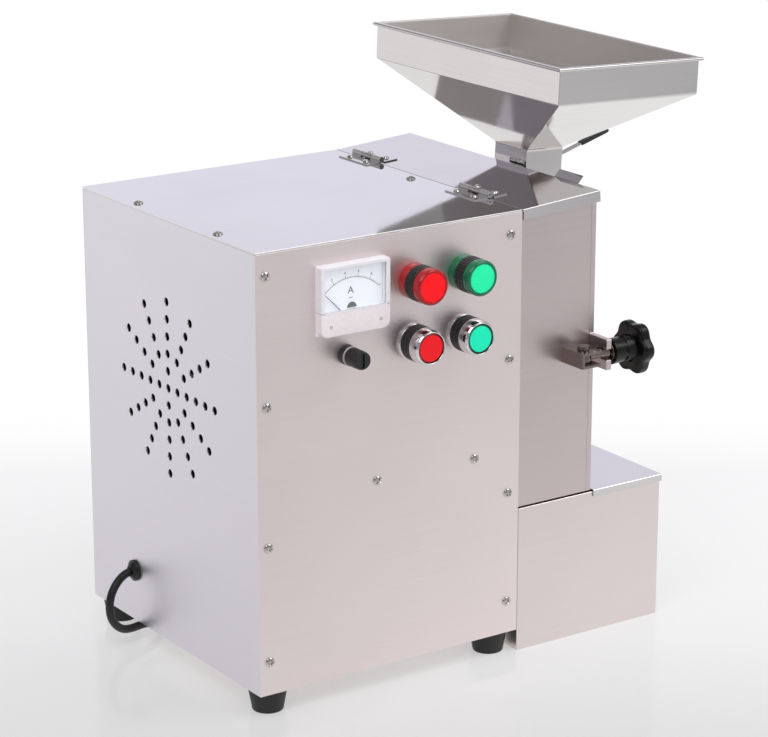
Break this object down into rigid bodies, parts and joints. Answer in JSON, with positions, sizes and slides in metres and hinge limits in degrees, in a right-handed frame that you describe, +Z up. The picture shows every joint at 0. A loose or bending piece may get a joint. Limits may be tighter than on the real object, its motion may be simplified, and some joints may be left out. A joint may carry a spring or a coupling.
{
  "type": "peanut grinding machine",
  "caption": "Bench peanut grinder: sheet steel cabinet with motor and controls, grinding column with hinged lid and clamped door, leaning hopper with slide gate, and a pull-out bin.",
  "frame": {"origin": "middle of the object's footprint box at floor level, without the power cord", "axes": "+Z up; +X from the cabinet to the hopper, along the control panel; +Y from the control panel to the back"},
  "size_m": [0.4714, 0.4288, 0.4881],
  "materials": {
    "stainless_panel": "satin",
    "stainless_polished": "polished",
    "bright_screws": "polished",
    "machined_steel": "machined",
    "motor_enamel": "enamel",
    "winding": "varnished",
    "black_rubber": "matte",
    "black_plastic": "satin",
    "chrome_bezel": "plated",
    "red_plastic": "gloss",
    "green_plastic": "gloss",
    "white_plastic": "gloss",
    "dial_white": "printed",
    "needle_black": "matte",
    "clear_cover": "clear"
  },
  "bodies": {
    "machine": {"base_plate": "stainless_panel", "left_end_panel": "stainless_panel", "front_panel": "stainless_panel", "back_panel": "stainless_panel", "top_cover": "stainless_polished", "bulkhead": "stainless_panel", "column_shell": "stainless_panel", "chamber_door": "stainless_panel", "door_hinges": "bright_screws", "feed_chute": "stainless_panel", "hopper": "stainless_polished", "hinge_body_leaves": "stainless_polished", "hinge_pins": "bright_screws", "rubber_feet": "black_rubber", "foot_screws": "bright_screws", "panel_screws": "bright_screws", "top_screws": "bright_screws", "meter_case": "white_plastic", "meter_dial": "dial_white", "meter_window": "clear_cover", "meter_apron": "white_plastic", "fuse_holder": "black_plastic", "lamp_bodies": "black_plastic", "red_lens": "red_plastic", "green_lens": "green_plastic", "button_bodies": "black_plastic", "button_bezels": "chrome_bezel", "contact_blocks": "black_plastic", "panel_nuts": "black_plastic", "control_bracket": "stainless_panel", "motor_frame": "motor_enamel", "stator": "winding", "end_bells": "motor_enamel", "bearings": "machined_steel", "grinding_drum": "machined_steel", "ring_screen": "machined_steel", "fixed_disc": "machined_steel", "clamp_bracket": "stainless_panel", "cord_gland": "black_rubber", "power_cord": "black_rubber", "cord_coil": "black_rubber", "cord_tie": "black_plastic", "plug": "black_rubber"},
    "lid": {"lid": "stainless_polished", "hinge_lid_leaves": "stainless_polished"},
    "gate": {"gate_plate": "stainless_polished", "gate_grip": "black_rubber"},
    "bin": {"collection_bin": "stainless_panel"},
    "bin_cover": {"bin_lid": "stainless_panel"},
    "clamp": {"swing_bolt": "stainless_polished"},
    "knob": {"star_knob": "black_plastic"},
    "stop_button": {"stop_cap": "red_plastic"},
    "start_button": {"start_cap": "green_plastic"},
    "fuse_carrier": {"fuse_cap": "black_plastic"},
    "pointer": {"meter_needle": "needle_black"},
    "rotor": {"motor_shaft": "machined_steel", "rotor_core": "machined_steel", "cooling_fan": "black_plastic", "grinding_rotor": "machined_steel"}
  },
  "joints": [
    {"name": "lid_hinge", "type": "hinge", "parent": "machine", "child": "lid", "pos_m": [0.03358, 0.01475, 0.382], "axis": [0, -1, 0], "range_deg": [0, 20]},
    {"name": "gate_slide", "type": "slide", "parent": "machine", "child": "gate", "axis": [1, 0, 0], "range_m": [0, 0.03]},
    {"name": "bin_slide", "type": "slide", "parent": "machine", "child": "bin", "axis": [1, 0, 0], "range_m": [0, 0.15]},
    {"name": "bin_lid_lift", "type": "slide", "parent": "bin", "child": "bin_cover", "axis": [0, 0, 1], "range_m": [0, 0.04]},
    {"name": "clamp_swing", "type": "hinge", "parent": "machine", "child": "clamp", "pos_m": [0.08558, -0.13425, 0.251], "axis": [0, 0, -1], "range_deg": [0, 95]},
    {"name": "knob_spin", "type": "hinge", "parent": "clamp", "child": "knob", "pos_m": [0.13058, -0.13425, 0.251], "axis": [1, 0, 0], "continuous": true},
    {"name": "stop_press", "type": "slide", "parent": "machine", "child": "stop_button", "axis": [0, 1, 0], "range_m": [0, 0.004], "stiffness_N_per_m": 400},
    {"name": "start_press", "type": "slide", "parent": "machine", "child": "start_button", "axis": [0, 1, 0], "range_m": [0, 0.004], "stiffness_N_per_m": 400},
    {"name": "fuse_turn", "type": "hinge", "parent": "machine", "child": "fuse_carrier", "pos_m": [-0.13742, -0.12025, 0.287], "axis": [0, 1, 0], "range_deg": [0, 90]},
    {"name": "pointer_turn", "type": "hinge", "parent": "machine", "child": "pointer", "pos_m": [-0.13392, -0.12025, 0.313], "axis": [0, 1, 0], "range_deg": [0, 90]},
    {"name": "rotor_spin", "type": "hinge", "parent": "machine", "child": "rotor", "pos_m": [-0.01942, 0.01475, 0.239], "axis": [1, 0, 0], "continuous": true}
  ]
}
